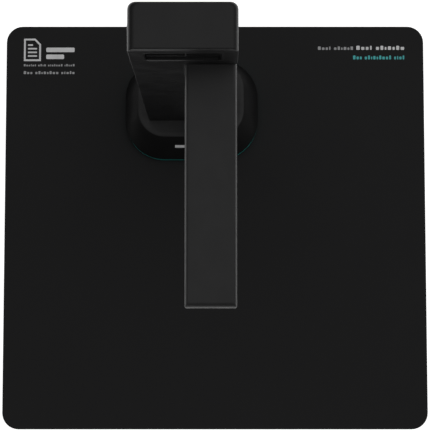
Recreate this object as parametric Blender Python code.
"""Document camera: a weighted base and a column on a work mat, with a camera arm that folds into the column.

Metres, +Z up. The origin is on the desk, under the middle of the mat. +X is to the user's right and
+Y is away from the user. The arm is unfolded over the mat.
"""

import math

import bmesh
import bpy
from mathutils import Matrix, Vector

MM = 0.001
GAP = 0.3 * MM  # between pieces that touch

# Work mat
MAT_WIDTH = 440 * MM
MAT_DEPTH = 422 * MM
MAT_THICK = 2 * MM
MAT_RADIUS = 17 * MM

# Base: an outer foot outline that slopes up to a flat plateau
CENTRE_X = -24.95 * MM
BASE_X = (-93.4 * MM, 44.6 * MM)
BASE_Y = (68.6 * MM, 174.0 * MM)
BASE_RADIUS = 41 * MM
PLATEAU_X = (-78.65 * MM, 28.75 * MM)
PLATEAU_Y = (91.9 * MM, 168.0 * MM)
PLATEAU_RADIUS = 27 * MM
PLATEAU_Z = MAT_THICK + 25 * MM
PLATEAU_RIM = 3.5 * MM  # width of the soft rim round the plateau
FOOT_THICK = 1.6 * MM
FOOT_RADIUS = 7.5 * MM
FOOT_SPREAD = (49 * MM, 33 * MM)
FLOOR_Z = MAT_THICK + GAP + FOOT_THICK + GAP  # underside of the bottom plate
PLATE_TOP_Z = FLOOR_Z + 2.4 * MM
RING_HEIGHT = 4.2 * MM
RING_WIDTH = 2.4 * MM
SEAM_Z = FLOOR_Z + RING_HEIGHT + GAP  # lower edge of the base cover
SKIRT_Z = SEAM_Z + 1.2 * MM  # where the slope begins
BASE_WALL = 2.5 * MM

# Column and its head
COLUMN_X = (CENTRE_X - 43.25 * MM, CENTRE_X + 43.25 * MM)
COLUMN_Y = (106.9 * MM, 146.1 * MM)
COLUMN_FOOT_Z = PLATEAU_Z + 0.6 * MM
COLUMN_TOP_Z = MAT_THICK + 384.6 * MM
COLUMN_WALL = 2.5 * MM
BACK_WALL = 4.5 * MM
BACK_PANEL = 2.2 * MM
PANEL_INSET = 6 * MM
PANEL_LEDGE = 9 * MM
HEAD_ROUND = (6.2 * MM, 2.2 * MM, 6.5 * MM)  # rounding of the head's top along X, Y and Z

# Arm, hinged on an X axis in the column's notch
ARM_X = (-24.6 * MM, COLUMN_X[1] - 0.4 * MM)
ARM_TOP_Z = MAT_THICK + 327.8 * MM
ARM_THICK = 24 * MM
ARM_TIP_Y = -90.2 * MM
ARM_WALL = 2.7 * MM
PIVOT_Y = COLUMN_Y[0] + ARM_THICK / 2
PIVOT_Z = ARM_TOP_Z - ARM_THICK / 2
ARM_REACH = PIVOT_Y - ARM_TIP_Y
ARM_FLOOR_Z = ARM_TOP_Z - ARM_THICK
COVER_ROOT_Y = COLUMN_Y[0] + 5.0 * MM  # the top cover ends out of sight, inside the notch
COVER_SEAM_Z = ARM_TOP_Z - 9.0 * MM  # parting line along the arm's sides
COVER_THICK = 2.4 * MM
TIP_CORNER = 1.4 * MM
COVER_ROUND = (3.3 * MM, 4.8 * MM, 6.0 * MM)  # rounding of the cover's sides along X, its tip along Y, and Z

# Notch that takes the folded arm
NOTCH_X = ARM_X[0] - 1.3 * MM
NOTCH_Y = COLUMN_Y[0] + ARM_THICK + 2.0 * MM
NOTCH_Z = (PIVOT_Z - ARM_REACH - 3.0 * MM, ARM_TOP_Z + 0.8 * MM)

# Front window of the head
WINDOW_SIZE = (60.4 * MM, 28.0 * MM)
WINDOW_Z = MAT_THICK + 358.0 * MM
WINDOW_RADIUS = 4 * MM
WINDOW_RECESS = 2.0 * MM
WINDOW_CHAMFER = 0.8 * MM
WINDOW_PANEL = 1.6 * MM

# Camera in the tip of the arm
LENS_X = (ARM_X[0] + ARM_X[1]) / 2
LENS_Y = -70 * MM
BEZEL_RADIUS = 11 * MM

# Hinge parts
SHAFT_RADIUS = 5.0 * MM
SHAFT_BORE = 3.0 * MM
SHAFT_X = (-41 * MM, 3 * MM)
BUSH_RADIUS = 8 * MM
BUSH_FLANGE = 9.2 * MM
NUT_RADIUS = 8.5 * MM
BRACKET_Y = PIVOT_Y - 9.1 * MM
BRACKET_X = (-32.5 * MM, -30.1 * MM)

# Steel frame of the column
FRAME_X = (-59 * MM, -35 * MM)
FRAME_Y = (134.0 * MM, 136.0 * MM)
FRAME_FOOT_Y = 92 * MM
FRAME_BRACKET_X = -44 * MM  # screws between the frame and the hinge bracket
BALLAST_Z = (FLOOR_Z + 3.0 * MM, FLOOR_Z + 10.0 * MM)
FRAME_FOOT_Z = BALLAST_Z[1] + GAP
FRAME_THICK = 2.0 * MM

# Screws
SCREW_RADIUS = 1.25 * MM
SCREW_HEAD_RADIUS = 2.4 * MM
SCREW_HEAD_THICK = 1.4 * MM
BOSS_RADIUS = 3.2 * MM
BASE_SCREW_XY = [(CENTRE_X + sx * 39 * MM, y) for y in (106 * MM, 156 * MM) for sx in (-1, 1)]
BACK_SCREW_XZ = [(CENTRE_X + sx * 33 * MM, 40 * MM) for sx in (-1, 1)]
ARM_SCREW_XY = [(LENS_X + sx * 14.2 * MM, y) for y in (-44 * MM, 84 * MM) for sx in (-1, 1)]
FRAME_BOLT_Y = (98 * MM, 126 * MM)
BRACKET_SCREW_Z = (PIVOT_Z - 9 * MM, PIVOT_Z + 9 * MM)
KNUCKLE_SCREW_Y = (94 * MM, 101 * MM)

# Buttons on the head's left side
BUTTON_Y = 126 * MM
BUTTON_Z = {"lamp_button": MAT_THICK + 349 * MM, "scan_button": MAT_THICK + 367 * MM}
BUTTON_RADIUS = 5.0 * MM
BUTTON_PROUD = 0.8 * MM
BUTTON_TRAVEL = 1.0 * MM
SWITCH_X = (-58.9 * MM, -56.8 * MM)

# USB inlet in the back of the base
USB_Z = BALLAST_Z[1] + 3.9 * MM
USB_SIZE = (9.0 * MM, 3.4 * MM)
USB_Y = (162.5 * MM, 170.0 * MM)
USB_CORNER = 1.2 * MM
USB_WALL = 0.5 * MM

LED_COUNT = 4
LED_PITCH = 12 * MM
LED_SIZE = 3.5 * MM
CABLE_RADIUS = 1.6 * MM

# Colour, roughness, metallic
FINISHES = {
    "mat": ((0.010, 0.010, 0.011), 0.85, 0.0),
    "shell": ((0.018, 0.018, 0.019), 0.45, 0.0),
    "gloss": ((0.010, 0.010, 0.011), 0.15, 0.0),
    "teal": ((0.02, 0.16, 0.15), 0.45, 0.0),
    "rubber": ((0.02, 0.02, 0.02), 0.9, 0.0),
    "steel": ((0.45, 0.45, 0.46), 0.35, 1.0),
    "aluminium": ((0.6, 0.6, 0.62), 0.35, 1.0),
    "brass": ((0.7, 0.5, 0.2), 0.3, 1.0),
    "board": ((0.02, 0.12, 0.05), 0.5, 0.0),
    "white": ((0.85, 0.85, 0.83), 0.4, 0.0),
    "led": ((0.9, 0.85, 0.5), 0.3, 0.0),
    "glass": ((0.05, 0.06, 0.08), 0.05, 0.0),
    "cable": ((0.03, 0.03, 0.03), 0.6, 0.0),
}


# Making objects


def finished(obj, finish):
    """Gives the object its own material and smooth shading with sharp edges kept."""
    colour, roughness, metallic = FINISHES[finish]
    material = bpy.data.materials.new(obj.name)
    material.use_nodes = True
    shader = material.node_tree.nodes["Principled BSDF"]
    shader.inputs["Base Color"].default_value = (*colour, 1.0)
    shader.inputs["Roughness"].default_value = roughness
    shader.inputs["Metallic"].default_value = metallic
    obj.data.materials.append(material)
    if obj.type == "MESH":
        obj.data.shade_smooth()
        obj.data.set_sharp_from_angle(angle=math.radians(30))
    return obj


def linked(name, bm, finish):
    """Turns a closed bmesh into a scene object. Without a finish it is a helper shape."""
    bmesh.ops.recalc_face_normals(bm, faces=bm.faces)
    mesh = bpy.data.meshes.new(name)
    bm.to_mesh(mesh)
    bm.free()
    obj = bpy.data.objects.new(name, mesh)
    bpy.context.scene.collection.objects.link(obj)
    if finish is None:
        obj.hide_render = True
        obj.display_type = "WIRE"
        return obj
    return finished(obj, finish)


def loft(name, rings, finish=None, closed=False):
    """A skin over rings of equal length. It is capped at both ends, or joined end to start where closed."""
    bm = bmesh.new()
    loops = [[bm.verts.new(point) for point in ring] for ring in rings]
    pairs = list(zip(loops, loops[1:]))
    if closed:
        pairs.append((loops[-1], loops[0]))
    for lower, upper in pairs:
        count = len(lower)
        for i in range(count):
            j = (i + 1) % count
            bm.faces.new((lower[i], lower[j], upper[j], upper[i]))
    if not closed:
        bm.faces.new(loops[0])
        bm.faces.new(loops[-1])
    return linked(name, bm, finish)


def along(axis, a, b, c):
    """A point from its two coordinates across an axis, a and b, and its place along it, c."""
    return {"X": (c, a, b), "Y": (a, c, b), "Z": (a, b, c)}[axis]


def prism(name, outline, axis, ends, finish=None):
    """An outline extruded along an axis. Its coordinates are (Y, Z), (X, Z) or (X, Y)."""
    return loft(name, [[along(axis, a, b, c) for a, b in outline] for c in ends], finish)


def box(name, x, y, z, finish=None):
    outline = [(x[0], y[0]), (x[1], y[0]), (x[1], y[1]), (x[0], y[1])]
    return prism(name, outline, "Z", z, finish)


def rounded(a, b, radii, steps=5):
    """A rectangle with rounded corners, from its low-low corner anticlockwise. Radius 0 is a sharp corner."""
    corners = [(a[0], b[0], 1, 1), (a[1], b[0], -1, 1), (a[1], b[1], -1, -1), (a[0], b[1], 1, -1)]
    points = []
    for turn, ((u, v, su, sv), r) in enumerate(zip(corners, radii)):
        for i in range(steps + 1 if r > 0 else 1):
            angle = math.pi + (turn + i / steps) * math.pi / 2
            points.append((u + su * r + r * math.cos(angle), v + sv * r + r * math.sin(angle)))
    return points


def circle(radius, steps):
    return [(radius * math.cos(2 * math.pi * i / steps), radius * math.sin(2 * math.pi * i / steps))
            for i in range(steps)]


def turned(name, axis, centre, profile, finish=None, steps=24, closed=False):
    """A turned piece round an axis through centre = (a, b). The profile lists (place, radius)."""
    rings = [[along(axis, centre[0] + u, centre[1] + v, place) for u, v in circle(radius, steps)]
             for place, radius in profile]
    return loft(name, rings, finish, closed)


def ring(name, axis, centre, ends, radii, finish=None, steps=24):
    """A plain tube: radii are (inner, outer)."""
    profile = [(ends[0], radii[0]), (ends[0], radii[1]), (ends[1], radii[1]), (ends[1], radii[0])]
    return turned(name, axis, centre, profile, finish, steps, closed=True)


def combined(obj, operation, helpers):
    for helper in helpers:
        modifier = obj.modifiers.new(f"{operation.lower()} {helper.name}", "BOOLEAN")
        modifier.operation = operation
        modifier.solver = "EXACT"
        modifier.object = helper
    return obj


def hole(name, axis, centre, ends, radius=None, steps=12):
    """A round cutter. Without a radius it clears a screw's shank."""
    radius = SCREW_RADIUS + GAP if radius is None else radius
    return turned(name, axis, centre, [(place, radius) for place in ends], None, steps)


def cut(obj, *helpers):
    return combined(obj, "DIFFERENCE", helpers)


def joined(obj, *helpers):
    return combined(obj, "UNION", helpers)


def screw(name, axis, centre, head_place, length, sign, finish="steel"):
    """A pan-head screw whose head's outer face is at head_place and whose shank runs towards sign."""
    neck = head_place + sign * SCREW_HEAD_THICK
    profile = [
        (head_place, SCREW_HEAD_RADIUS * 0.8),
        (head_place + sign * 0.4 * MM, SCREW_HEAD_RADIUS),
        (neck, SCREW_HEAD_RADIUS),
        (neck, SCREW_RADIUS),
        (neck + sign * length, SCREW_RADIUS),
    ]
    return turned(name, axis, centre, profile, finish, 12)


def boss(name, axis, centre, root, tip, bore_depth):
    """A screw boss that grows from root to tip, with a blind hole at its tip."""
    sign = 1 if tip > root else -1
    bottom = tip - sign * bore_depth
    bore = SCREW_RADIUS + GAP
    profile = [(root, BOSS_RADIUS), (tip, BOSS_RADIUS), (tip, bore), (bottom, bore)]
    return turned(name, axis, centre, profile, None, 16)


def cable(name, route, finish="cable"):
    """A round cable along a smooth curve through the route's points."""
    points = []
    ends = [route[0]] + route + [route[-1]]
    for before, start, end, after in zip(ends, ends[1:], ends[2:], ends[3:]):
        a, b, c, d = (Vector(point) for point in (before, start, end, after))
        parts = max(2, round((c - b).length / (14 * MM)))
        for i in range(parts):
            t = i / parts
            points.append(0.5 * (2 * b + (c - a) * t + (2 * a - 5 * b + 4 * c - d) * t**2
                                 + (3 * b - a - 3 * c + d) * t**3))
    points.append(Vector(route[-1]))
    curve = bpy.data.curves.new(name, "CURVE")
    curve.dimensions = "3D"
    curve.bevel_depth = CABLE_RADIUS
    curve.bevel_resolution = 2
    curve.use_fill_caps = True
    spline = curve.splines.new("POLY")
    spline.points.add(len(points) - 1)
    for target, point in zip(spline.points, points):
        target.co = (*point, 1.0)
    obj = bpy.data.objects.new(name, curve)
    bpy.context.scene.collection.objects.link(obj)
    return finished(obj, finish)


def centred(obj, point):
    """Moves the object's origin to a point and leaves its shape where it is."""
    obj.data.transform(Matrix.Translation(-Vector(point)))
    obj.location = point
    return obj


# Mat and base


def base_ring(rise, inset, z):
    """The base's outline between its foot (rise 0) and its plateau (rise 1), drawn in by inset."""
    x = [foot + (top - foot) * rise for foot, top in zip(BASE_X, PLATEAU_X)]
    y = [foot + (top - foot) * rise for foot, top in zip(BASE_Y, PLATEAU_Y)]
    radius = BASE_RADIUS + (PLATEAU_RADIUS - BASE_RADIUS) * rise - inset
    outline = rounded((x[0] + inset, x[1] - inset), (y[0] + inset, y[1] - inset), [radius] * 4, 14)
    return [(a, b, z) for a, b in outline]


def slope_z(rise, drop=0.0):
    """Height of the base's skirt, which swells a little between its foot and its rim."""
    return SKIRT_Z + (PLATEAU_Z - SKIRT_Z - drop) * (1.25 * rise - 0.25 * rise**2)


def make_mat():
    outline = rounded((-MAT_WIDTH / 2, MAT_WIDTH / 2), (-MAT_DEPTH / 2, MAT_DEPTH / 2), [MAT_RADIUS] * 4, 8)
    prism("work_mat", outline, "Z", (0, MAT_THICK), "mat")


def plateau_rim(start, steps):
    """The soft bend from the slope, from rise start on, over to the flat of the plateau."""
    rings = []
    for i in range(1, steps + 1):
        t = i / steps
        rise = 1 - (1 - start) * (1 - t)**2
        z = PLATEAU_Z - (PLATEAU_Z - slope_z(start)) * (1 - t)**2
        rings.append(base_ring(rise, PLATEAU_RIM * t**2, z))
    return rings


def make_base_cover():
    rises = (0, 0.3, 0.6, 0.9)
    inner = [base_ring(rise, BASE_WALL, slope_z(rise, BASE_WALL)) for rise in (1, 0.6, 0.3, 0)]
    outer = [base_ring(rise, 0, slope_z(rise)) for rise in rises]
    foot = [base_ring(0, BASE_WALL, SEAM_Z), base_ring(0, 0, SEAM_Z)]
    cover = loft("base_cover", inner + foot + outer + plateau_rim(rises[-1], 5), "shell")
    roof = PLATEAU_Z - BASE_WALL
    joined(cover, *(boss(f"base_boss_{i}", "Z", xy, roof + 1 * MM, PLATE_TOP_Z + GAP, 12 * MM)
                    for i, xy in enumerate(BASE_SCREW_XY, 1)))
    cut(cover, frame_passage("base_passage"), usb_opening())


def frame_passage(name):
    """Opening that the steel frame and the cable go through, in the base's roof and the column's floor."""
    clear = 1.5 * MM
    return box(name, (FRAME_X[0] - clear, FRAME_X[1] + clear), (114 * MM, FRAME_Y[1] + clear),
               (PLATEAU_Z - 6 * MM, COLUMN_FOOT_Z + 6 * MM))


def usb_outline(margin):
    """The inlet's outline, grown by a margin on every side."""
    half_x, half_z = USB_SIZE[0] / 2 + margin, USB_SIZE[1] / 2 + margin
    x, z = (CENTRE_X - half_x, CENTRE_X + half_x), (USB_Z - half_z, USB_Z + half_z)
    return rounded(x, z, [USB_CORNER + min(margin, 0)] * 4, 3)


def usb_opening():
    return prism("usb_opening", usb_outline(0.6 * MM), "Y", (USB_Y[0] - 0.5 * MM, BASE_Y[1] + 4 * MM))


def make_usb_inlet():
    back, front = USB_Y
    floor = front - 5.5 * MM
    stations = ((0, back), (0, front), (-USB_WALL, front), (-USB_WALL, floor))
    loft("usb_inlet", [[(a, y, b) for a, b in usb_outline(margin)] for margin, y in stations], "steel")


def make_base():
    plate_inset = RING_WIDTH + GAP
    plate = loft("base_bottom_plate", [base_ring(0, plate_inset, z) for z in (FLOOR_Z, PLATE_TOP_Z)], "shell")
    holes = [turned(f"base_screw_hole_{i}", "Z", xy, [(0, BOSS_RADIUS), (20 * MM, BOSS_RADIUS)], None, 16)
             for i, xy in enumerate(BASE_SCREW_XY, 1)]
    cut(plate, *holes)
    top = FLOOR_Z + RING_HEIGHT
    profile = ((0, FLOOR_Z), (0, top), (RING_WIDTH, top), (RING_WIDTH, FLOOR_Z))
    loft("accent_ring", [base_ring(0, inset, z) for inset, z in profile], "teal", closed=True)
    make_base_cover()
    for i, xy in enumerate(BASE_SCREW_XY, 1):
        screw(f"base_screw_{i}", "Z", xy, FLOOR_Z + 1.0 * MM, 10 * MM, 1)
    foot_top = FLOOR_Z - GAP
    bottom = foot_top - FOOT_THICK
    chamfer = 0.5 * MM
    profile = [(bottom, FOOT_RADIUS - chamfer), (bottom + chamfer, FOOT_RADIUS), (foot_top, FOOT_RADIUS)]
    middle_y = (BASE_Y[0] + BASE_Y[1]) / 2
    for i, (sx, sy) in enumerate(((-1, -1), (1, -1), (-1, 1), (1, 1)), 1):
        centre = (CENTRE_X + sx * FOOT_SPREAD[0], middle_y + sy * FOOT_SPREAD[1])
        turned(f"rubber_foot_{i}", "Z", centre, profile, "rubber")


def make_ballast():
    outline = rounded((-80 * MM, 30 * MM), (84 * MM, 160 * MM), [24 * MM] * 4, 4)
    weight = prism("base_weight", outline, "Z", BALLAST_Z, "steel")
    clear = BOSS_RADIUS + 1 * MM
    cut(weight, *(turned(f"ballast_hole_{i}", "Z", xy, [(0, clear), (30 * MM, clear)], None, 16)
                  for i, xy in enumerate(BASE_SCREW_XY, 1)))
    centre_x = (FRAME_X[0] + FRAME_X[1]) / 2
    tap = SCREW_RADIUS + GAP
    cut(weight, *(turned(f"bolt_tap_{i}", "Z", (centre_x, y), [(0, tap), (30 * MM, tap)], None, 12)
                  for i, y in enumerate(FRAME_BOLT_Y, 1)))


def make_main_board():
    z = (BALLAST_Z[1] + 0.6 * MM, BALLAST_Z[1] + 1.9 * MM)
    box("main_board", (CENTRE_X - 5 * MM, CENTRE_X + 32 * MM), (142 * MM, 164 * MM), z, "board")


# Column


def column_outline(inset_x, inset_y):
    x = (COLUMN_X[0] + inset_x, COLUMN_X[1] - inset_x)
    y = (COLUMN_Y[0] + inset_y, COLUMN_Y[1] - inset_y)
    return rounded(x, y, (1.2 * MM, 1.2 * MM, 5.5 * MM, 5.5 * MM), 4)


def window_outline(margin):
    """The window's outline, grown by a margin on every side. Its corners stay round where it shrinks."""
    half_x, half_z = WINDOW_SIZE[0] / 2 + margin, WINDOW_SIZE[1] / 2 + margin
    x, z = (CENTRE_X - half_x, CENTRE_X + half_x), (WINDOW_Z - half_z, WINDOW_Z + half_z)
    return rounded(x, z, [WINDOW_RADIUS + max(margin, 0)] * 4, 4)


def make_column_housing():
    side, front, drop = HEAD_ROUND
    rings = [[(a, b, COLUMN_FOOT_Z) for a, b in column_outline(0, 0)]]
    steps = 8
    for i in range(steps + 1):
        angle = i / steps * math.pi / 2
        draw_in = 1 - math.cos(angle)
        z = COLUMN_TOP_Z - drop * (1 - math.sin(angle))
        rings.append([(a, b, z) for a, b in column_outline(side * draw_in, front * draw_in)])
    housing = loft("column_housing", rings, "shell")
    cut(housing, *column_cavities())
    joined(housing, *(boss(f"back_boss_{i}", "Y", xz, COLUMN_Y[1] - BACK_WALL + 1 * MM,
                           COLUMN_Y[1] - BACK_WALL - 3 * MM, 0.5 * MM)
                      for i, xz in enumerate(BACK_SCREW_XZ, 1)))
    cut(housing, *column_openings())


def column_cavities():
    """The hollow of the housing: its left half, the head, the foot, and the duct behind the notch."""
    wall = COLUMN_WALL
    middle = NOTCH_X - wall
    y = (COLUMN_Y[0] + wall, COLUMN_Y[1] - BACK_WALL)
    z = (COLUMN_FOOT_Z + wall, COLUMN_TOP_Z - wall)
    right = (middle - 2 * MM, COLUMN_X[1] - wall)
    duct_z = (NOTCH_Z[0] - wall - 2 * MM, NOTCH_Z[1] + wall + 2 * MM)
    return (
        box("left_cavity", (COLUMN_X[0] + wall, middle), y, z),
        box("head_cavity", right, y, (NOTCH_Z[1] + wall, z[1])),
        box("foot_cavity", right, y, (z[0], NOTCH_Z[0] - wall)),
        box("notch_duct", right, (NOTCH_Y + wall, y[1]), duct_z),
    )


def column_openings():
    """Notch, window, hinge hole, button holes, back panel seat, frame passage and back screw holes."""
    far = 20 * MM
    front, back = COLUMN_Y[0], COLUMN_Y[1] + far
    panel_x, panel_z = back_panel_size(GAP)
    opening_x, opening_z = back_panel_size(GAP - PANEL_LEDGE)
    notch_side = (NOTCH_X - 4 * MM, NOTCH_X + 4 * MM)
    openings = [
        box("notch", (NOTCH_X, COLUMN_X[1] + far), (front - far, NOTCH_Y), NOTCH_Z),
        window_opening(),
        hole("hinge_hole", "X", (PIVOT_Y, PIVOT_Z), notch_side, BUSH_RADIUS + GAP, 24),
        box("panel_seat", panel_x, (COLUMN_Y[1] - BACK_PANEL - GAP, back), panel_z),
        box("panel_opening", opening_x, (COLUMN_Y[1] - BACK_WALL - 1 * MM, back), opening_z),
        frame_passage("column_passage"),
    ]
    button_x = (COLUMN_X[0] - 4 * MM, COLUMN_X[0] + 4 * MM)
    openings += [hole(f"{name}_hole", "X", (BUTTON_Y, z), button_x, BUTTON_RADIUS + GAP, 24)
                 for name, z in BUTTON_Z.items()]
    openings += [hole(f"back_screw_hole_{i}", "Y", xz, (COLUMN_Y[1] - BACK_WALL - far, back))
                 for i, xz in enumerate(BACK_SCREW_XZ, 1)]
    return openings


def window_opening():
    """The window's hole through the front wall, with a chamfer at its mouth."""
    front = COLUMN_Y[0]
    reach = 1 * MM
    stations = ((WINDOW_CHAMFER + reach, front - reach), (0, front + WINDOW_CHAMFER),
                (0, front + COLUMN_WALL + reach))
    rings = [[(a, y, b) for a, b in window_outline(margin)] for margin, y in stations]
    return loft("window_opening", rings)


def back_panel_size(margin):
    """The back panel's X and Z ranges, grown by a margin."""
    inset = PANEL_INSET - margin
    x = (COLUMN_X[0] + inset, COLUMN_X[1] - inset)
    z = (COLUMN_FOOT_Z + inset, COLUMN_TOP_Z - inset)
    return x, z


def make_back_panel():
    x, z = back_panel_size(0)
    panel = box("column_rear_cover", x, (COLUMN_Y[1] - BACK_PANEL, COLUMN_Y[1]), z, "shell")
    bore = SCREW_HEAD_RADIUS + GAP
    seat = COLUMN_Y[1] - 1.6 * MM
    shank = SCREW_RADIUS + GAP
    profile = [(COLUMN_Y[1] - 9 * MM, shank), (seat, shank), (seat, bore), (COLUMN_Y[1] + 3 * MM, bore)]
    for i, xz in enumerate(BACK_SCREW_XZ, 1):
        cut(panel, turned(f"rear_counterbore_{i}", "Y", xz, profile, None, 12))
        screw(f"rear_cover_screw_{i}", "Y", xz, COLUMN_Y[1] - 0.1 * MM, 6 * MM, -1)


def make_frame():
    """Folded steel strip: a foot on the ballast and an upright behind the cable."""
    centre_x = (FRAME_X[0] + FRAME_X[1]) / 2
    foot, top = FRAME_FOOT_Z, PIVOT_Z + 16 * MM
    outline = [
        (FRAME_FOOT_Y, foot),
        (FRAME_Y[1], foot),
        (FRAME_Y[1], top),
        (FRAME_Y[0], top),
        (FRAME_Y[0], foot + FRAME_THICK),
        (FRAME_FOOT_Y, foot + FRAME_THICK),
    ]
    frame = prism("column_frame", outline, "X", FRAME_X, "steel")
    reach = 5 * MM
    foot_z = (foot - reach, foot + reach)
    back_y = (FRAME_Y[0] - reach, FRAME_Y[1] + reach)
    cut(frame, *(hole(f"frame_hole_{i}", "Z", (centre_x, y), foot_z) for i, y in enumerate(FRAME_BOLT_Y, 1)))
    cut(frame, *(hole(f"bracket_hole_{i}", "Y", (FRAME_BRACKET_X, z), back_y)
                 for i, z in enumerate(BRACKET_SCREW_Z, 1)))
    for i, y in enumerate(FRAME_BOLT_Y, 1):
        head = foot + FRAME_THICK + GAP + SCREW_HEAD_THICK
        screw(f"frame_bolt_{i}", "Z", (centre_x, y), head, 7 * MM, -1)


def make_lamp():
    """Window panel, reflector, board and LEDs in the head."""
    front = COLUMN_Y[0] + WINDOW_RECESS
    shoulder = COLUMN_Y[0] + COLUMN_WALL + GAP
    rim = 2.2 * MM
    rings = [(-GAP, front), (-GAP, shoulder), (rim, shoulder), (rim, shoulder + WINDOW_PANEL)]
    loft("lamp_window", [[(a, y, b) for a, b in window_outline(margin)] for margin, y in rings], "gloss")
    start = shoulder + WINDOW_PANEL + GAP
    end = start + 7 * MM
    wall = 1.2 * MM
    mouth, throat = 1.5 * MM, -4.0 * MM
    sides = [(mouth, start), (throat + wall, end), (throat, end), (mouth - wall, start)]
    loft("lamp_reflector", [[(a, y, b) for a, b in window_outline(margin)] for margin, y in sides],
         "white", closed=True)
    board = end + GAP
    half_x, half_z = WINDOW_SIZE[0] / 2, WINDOW_SIZE[1] / 2
    box("lamp_board", (CENTRE_X - half_x, CENTRE_X + half_x), (board, board + 1.6 * MM),
        (WINDOW_Z - half_z, WINDOW_Z + half_z), "board")
    half = LED_SIZE / 2
    led_y = (board - GAP - 1.4 * MM, board - GAP)
    for i in range(LED_COUNT):
        x = CENTRE_X + (i - (LED_COUNT - 1) / 2) * LED_PITCH
        box(f"lamp_led_{i + 1}", (x - half, x + half), led_y, (WINDOW_Z - half, WINDOW_Z + half), "led")


def make_buttons():
    """Two round plungers in the head's left side, each in front of a switch on a small board."""
    outside = COLUMN_X[0] - BUTTON_PROUD
    inside = COLUMN_X[0] + COLUMN_WALL + GAP
    end = SWITCH_X[0] - BUTTON_TRAVEL - 0.4 * MM
    for name, z in BUTTON_Z.items():
        profile = [
            (outside, BUTTON_RADIUS - 0.5 * MM),
            (outside + 0.5 * MM, BUTTON_RADIUS),
            (inside, BUTTON_RADIUS),
            (inside, BUTTON_RADIUS + 1.2 * MM),
            (inside + 1.0 * MM, BUTTON_RADIUS + 1.2 * MM),
            (inside + 1.0 * MM, 2.2 * MM),
            (end, 2.2 * MM),
        ]
        centred(turned(name, "X", (BUTTON_Y, z), profile, "gloss"), (COLUMN_X[0], BUTTON_Y, z))
        half = 3 * MM
        box(name.replace("button", "switch"), SWITCH_X, (BUTTON_Y - half, BUTTON_Y + half),
            (z - half, z + half), "steel")
    heights = BUTTON_Z.values()
    board_x = SWITCH_X[1] + GAP
    box("button_board", (board_x, board_x + 1.2 * MM), (BUTTON_Y - 5 * MM, BUTTON_Y + 5 * MM),
        (min(heights) - 7 * MM, max(heights) + 7 * MM), "board")


# Hinge


def make_hinge():
    centre = (PIVOT_Y, PIVOT_Z)
    make_hinge_bracket(centre)
    bore = SHAFT_RADIUS + GAP
    flange_x = (BRACKET_X[1] + GAP, NOTCH_X - COLUMN_WALL - GAP)
    end = NOTCH_X + 0.4 * MM
    flange = [(flange_x[0], bore), (flange_x[0], BUSH_FLANGE), (flange_x[1], BUSH_FLANGE)]
    sleeve = [(flange_x[1], BUSH_RADIUS), (end, BUSH_RADIUS), (end, bore)]
    turned("hinge_bush", "X", centre, flange + sleeve, "white", closed=True)
    moving = [ring("hinge_shaft", "X", centre, SHAFT_X, (SHAFT_BORE, SHAFT_RADIUS), "steel")]
    disc_thick, disc_radius = 1.2 * MM, 9 * MM
    disc = BRACKET_X[0] - GAP
    moving.append(ring("friction_disc", "X", centre, (disc - disc_thick, disc), (bore, disc_radius), "brass"))
    spring = disc - disc_thick - GAP
    dish = 0.8 * MM
    cone = [(spring, NUT_RADIUS), (spring - dish, NUT_RADIUS),
            (spring - 2 * dish, bore), (spring - dish, bore)]
    moving.append(turned("spring_washer", "X", centre, cone, "steel", closed=True))
    moving.append(make_hinge_nut(centre, spring - 2 * dish - GAP, bore))
    return moving


def make_hinge_bracket(centre):
    """Folded bracket: an ear that holds the shaft and a flange on the steel frame."""
    flange_y = (FRAME_Y[0] - GAP - 2.2 * MM, FRAME_Y[0] - GAP)
    flange_end, half_height, reach = -52 * MM, 14 * MM, 3 * MM
    outline = [
        (BRACKET_X[1], BRACKET_Y),
        (BRACKET_X[1], flange_y[1]),
        (flange_end, flange_y[1]),
        (flange_end, flange_y[0]),
        (BRACKET_X[0], flange_y[0]),
        (BRACKET_X[0], BRACKET_Y),
    ]
    bracket = prism("hinge_bracket", outline, "Z", (PIVOT_Z - half_height, PIVOT_Z + half_height), "steel")
    bore_x = (BRACKET_X[0] - reach, BRACKET_X[1] + reach)
    cut(bracket, hole("bracket_bore", "X", centre, bore_x, SHAFT_RADIUS + GAP, 24))
    for i, z in enumerate(BRACKET_SCREW_Z, 1):
        place = (FRAME_BRACKET_X, z)
        cut(bracket, hole(f"flange_hole_{i}", "Y", place, (flange_y[0] - reach, flange_y[1] + reach)))
        screw(f"bracket_screw_{i}", "Y", place, FRAME_Y[1] + GAP + SCREW_HEAD_THICK, 4.4 * MM, -1)


def make_hinge_nut(centre, start, bore):
    thick = 2.6 * MM
    nut = turned("hinge_nut", "X", centre, [(start - thick, NUT_RADIUS), (start, NUT_RADIUS)], "steel", 6)
    return cut(nut, hole("nut_bore", "X", centre, (start - 2 * thick, start + thick), bore, 24))


# Arm


def arm_outline():
    """Side view of the arm's lower shell as (Y, Z), before its tip's corners are rounded."""
    radius = ARM_THICK / 2
    chamfer = 1.0 * MM
    points = [(ARM_TIP_Y, ARM_FLOOR_Z + chamfer), (ARM_TIP_Y + chamfer, ARM_FLOOR_Z)]
    for i in range(13):
        angle = -math.pi / 2 + i / 12 * math.pi
        points.append((PIVOT_Y + radius * math.cos(angle), PIVOT_Z + radius * math.sin(angle)))
    return points + [(ARM_TIP_Y, ARM_TOP_Z)]


def arm_hollow_outline():
    """Side view of the arm's hollow. The top cover closes it from above."""
    radius = ARM_THICK / 2 - ARM_WALL
    tip = ARM_TIP_Y + ARM_WALL
    points = [(tip, ARM_FLOOR_Z + ARM_WALL)]
    for i in range(9):
        angle = -math.pi / 2 + i / 8 * math.pi
        points.append((PIVOT_Y + radius * math.cos(angle), PIVOT_Z + radius * math.sin(angle)))
    return points + [(tip, ARM_TOP_Z - ARM_WALL)]


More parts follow.
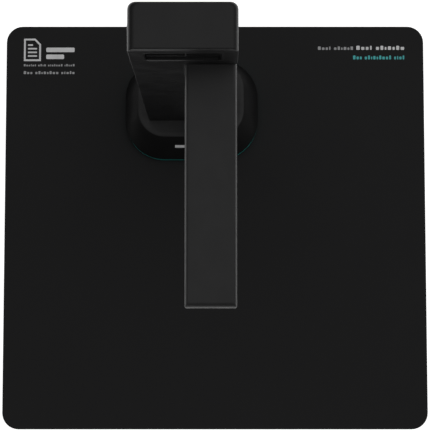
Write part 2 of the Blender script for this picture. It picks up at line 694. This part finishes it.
def make_arm_housing():
    """Lower shell of the arm, with the whole of the rounded root."""
    housing = prism("arm_housing", arm_outline(), "X", ARM_X, "shell")
    edge = housing.modifiers.new("edges", "BEVEL")
    edge.width = TIP_CORNER
    edge.segments = 3
    edge.limit_method = "ANGLE"
    edge.angle_limit = math.radians(60)
    reach = 3 * MM
    hollow_x = (ARM_X[0] + ARM_WALL, ARM_X[1] - ARM_WALL)
    cover_space = box("cover_space", (ARM_X[0] - reach, ARM_X[1] + reach),
                      (ARM_TIP_Y - reach, COVER_ROOT_Y + GAP), (COVER_SEAM_Z, ARM_TOP_Z + reach))
    cut(housing, prism("arm_hollow", arm_hollow_outline(), "X", hollow_x), cover_space,
        hole("shaft_hole", "X", (PIVOT_Y, PIVOT_Z), (ARM_X[0] - reach, hollow_x[0] + reach),
             SHAFT_RADIUS + GAP, 24),
        hole("lens_hole", "Z", (LENS_X, LENS_Y), (ARM_FLOOR_Z - reach, ARM_FLOOR_Z + 2 * reach),
             BEZEL_RADIUS + GAP, 24))
    bore, seat = SCREW_HEAD_RADIUS + GAP, ARM_FLOOR_Z + 1.6 * MM
    shank = SCREW_RADIUS + GAP
    profile = [(ARM_FLOOR_Z - reach, bore), (seat, bore), (seat, shank), (ARM_FLOOR_Z + 2 * reach, shank)]
    cut(housing, *(turned(f"arm_counterbore_{i}", "Z", xy, profile, None, 12)
                   for i, xy in enumerate(ARM_SCREW_XY, 1)))
    return housing


def arm_plan(draw_in, z):
    """The top cover's outline at a height, drawn in by a share of its rounding along its sides and tip."""
    side, tip = COVER_ROUND[0] * draw_in, COVER_ROUND[1] * draw_in
    x = (ARM_X[0] + side, ARM_X[1] - side)
    outline = rounded(x, (ARM_TIP_Y + tip, COVER_ROOT_Y), (TIP_CORNER, TIP_CORNER, 0, 0), 3)
    return [(a, b, z) for a, b in outline]


def make_arm_cover():
    """Upper shell of the arm: full width, with soft edges, and open at the root."""
    seam = COVER_SEAM_Z + GAP
    rings = [arm_plan(0, seam)]
    steps = 8
    for i in range(steps + 1):
        angle = i / steps * math.pi / 2
        rings.append(arm_plan(1 - math.cos(angle), ARM_TOP_Z - COVER_ROUND[2] * (1 - math.sin(angle))))
    cover = loft("arm_top_cover", rings, "shell")
    ceiling = ARM_TOP_Z - COVER_THICK
    cut(cover, box("cover_hollow", (ARM_X[0] + ARM_WALL, ARM_X[1] - ARM_WALL),
                   (ARM_TIP_Y + ARM_WALL, COVER_ROOT_Y + 3 * MM), (seam - 3 * MM, ceiling)))
    boss_z = (ceiling + 1 * MM, ARM_FLOOR_Z + ARM_WALL + GAP)
    return joined(cover, *(boss(f"cover_boss_{i}", "Z", xy, *boss_z, 12 * MM)
                           for i, xy in enumerate(ARM_SCREW_XY, 1)))


def make_arm_frame():
    """Knuckle round the shaft, and a strip that runs from it towards the camera."""
    knuckle_x = (ARM_X[0] + ARM_WALL + GAP, 0.0)
    radius, tongue_end, reach = 8.4 * MM, 90 * MM, 3 * MM
    tongue_z = (ARM_FLOOR_Z + 6.4 * MM, ARM_FLOOR_Z + 10.4 * MM)
    outline = [(tongue_end, tongue_z[1]), (tongue_end, tongue_z[0])]
    start = -math.pi + math.asin((PIVOT_Z - tongue_z[0]) / radius)
    end = math.pi + math.asin((PIVOT_Z - tongue_z[1]) / radius)
    for i in range(17):
        angle = start + i / 16 * (end - start)
        outline.append((PIVOT_Y + radius * math.cos(angle), PIVOT_Z + radius * math.sin(angle)))
    knuckle = prism("arm_knuckle", outline, "X", knuckle_x, "aluminium")
    bore_x = (knuckle_x[0] - reach, knuckle_x[1] + reach)
    cut(knuckle, hole("knuckle_bore", "X", (PIVOT_Y, PIVOT_Z), bore_x, SHAFT_RADIUS + GAP, 24))
    strip_x = (LENS_X - 8 * MM, LENS_X + 2 * MM)
    floor, lip = tongue_z[0] - GAP - 1.6 * MM, tongue_z[0] - GAP
    strip = box("arm_frame", strip_x, (-50 * MM, 104 * MM), (floor, lip), "aluminium")
    pieces = [knuckle, strip]
    screw_x = (strip_x[0] + strip_x[1]) / 2
    head = floor - GAP - SCREW_HEAD_THICK
    for i, y in enumerate(KNUCKLE_SCREW_Y, 1):
        tap = hole(f"knuckle_tap_{i}", "Z", (screw_x, y), (floor - reach, lip + 3 * reach))
        cut(knuckle, tap)
        cut(strip, tap)
        pieces.append(screw(f"knuckle_screw_{i}", "Z", (screw_x, y), head, 5 * MM, 1))
    return pieces


def make_camera():
    """Bezel and cover glass in the arm's underside, then barrel, lens and board above them."""
    centre = (LENS_X, LENS_Y)
    floor = ARM_FLOOR_Z
    bezel = turned("lens_bezel", "Z", centre, [
        (floor + 0.2 * MM, 8.6 * MM), (floor + 0.2 * MM, BEZEL_RADIUS - 0.6 * MM),
        (floor + 0.8 * MM, BEZEL_RADIUS), (floor + 3.2 * MM, BEZEL_RADIUS), (floor + 3.2 * MM, 8.3 * MM),
        (floor + 1.8 * MM, 8.3 * MM), (floor + 1.8 * MM, 7.2 * MM)], "gloss", closed=True)
    window_z = floor + 1.8 * MM + GAP
    window_top = window_z + 1.0 * MM
    window = turned("lens_cover_glass", "Z", centre, [(window_z, 8 * MM), (window_top, 8 * MM)], "glass")
    start = window_top + GAP
    barrel_top = start + 13 * MM
    barrel = turned("lens_barrel", "Z", centre, [
        (start, 5.6 * MM), (start, 7 * MM), (start + 6 * MM, 7 * MM), (start + 6 * MM, 6 * MM),
        (barrel_top, 6 * MM), (barrel_top, 3 * MM), (start + 4 * MM, 3 * MM), (start + 4 * MM, 5.6 * MM)],
        "shell", closed=True)
    lens = turned("lens_glass", "Z", centre, [
        (start + 0.6 * MM, 1.5 * MM), (start + 1.0 * MM, 3.4 * MM), (start + 1.8 * MM, 5.2 * MM),
        (start + 3.6 * MM, 5.2 * MM)], "glass")
    board = box("camera_board", (LENS_X - 16 * MM, LENS_X + 16 * MM), (LENS_Y - 12 * MM, LENS_Y + 16 * MM),
                (barrel_top + GAP, barrel_top + GAP + 1.2 * MM), "board")
    return [bezel, window, barrel, lens, board]


def make_cables():
    """One cable up the column into the hollow shaft, and one on from there to the camera board."""
    meet = -16 * MM
    cable("column_cable", [
        (-20 * MM, 148 * MM, 18.4 * MM),
        (-26 * MM, 140 * MM, 19 * MM),
        (-29.5 * MM, 133 * MM, 20 * MM),
        (-34 * MM, 126.5 * MM, 21.5 * MM),
        (-41 * MM, 123.5 * MM, 26 * MM),
        (-46 * MM, 122.5 * MM, 37 * MM),
        (-47 * MM, 122 * MM, 60 * MM),
        (-47 * MM, 122 * MM, 180 * MM),
        (-50 * MM, 119.5 * MM, 290 * MM),
        (-51.5 * MM, PIVOT_Y, 306 * MM),
        (-48 * MM, PIVOT_Y, 316 * MM),
        (-40 * MM, PIVOT_Y, PIVOT_Z),
        (meet - GAP, PIVOT_Y, PIVOT_Z),
    ])
    return cable("arm_cable", [
        (meet, PIVOT_Y, PIVOT_Z),
        (0, PIVOT_Y, PIVOT_Z),
        (7 * MM, 116.5 * MM, PIVOT_Z),
        (9.5 * MM, 108 * MM, PIVOT_Z),
        (6 * MM, 94 * MM, PIVOT_Z + 1 * MM),
        (3 * MM, 70 * MM, PIVOT_Z + 1 * MM),
        (3 * MM, 0, PIVOT_Z + 1 * MM),
        (3 * MM, -48 * MM, PIVOT_Z),
    ])


def make_arm():
    pivot = Vector((0, PIVOT_Y, PIVOT_Z))
    hinge = bpy.data.objects.new("arm_fold_axis", None)
    hinge.location = pivot
    bpy.context.scene.collection.objects.link(hinge)
    pieces = make_hinge() + [make_arm_housing(), make_arm_cover(), make_cables()]
    pieces += make_arm_frame() + make_camera()
    pieces += [screw(f"arm_screw_{i}", "Z", xy, ARM_FLOOR_Z + 0.1 * MM, 8 * MM, 1)
               for i, xy in enumerate(ARM_SCREW_XY, 1)]
    for piece in pieces:
        piece.parent = hinge
        piece.matrix_parent_inverse = Matrix.Translation(-pivot)


def main():
    for obj in list(bpy.data.objects):
        bpy.data.objects.remove(obj, do_unlink=True)
    make_mat()
    make_base()
    make_ballast()
    make_main_board()
    make_usb_inlet()
    make_column_housing()
    make_back_panel()
    make_frame()
    make_lamp()
    make_buttons()
    make_arm()


main()
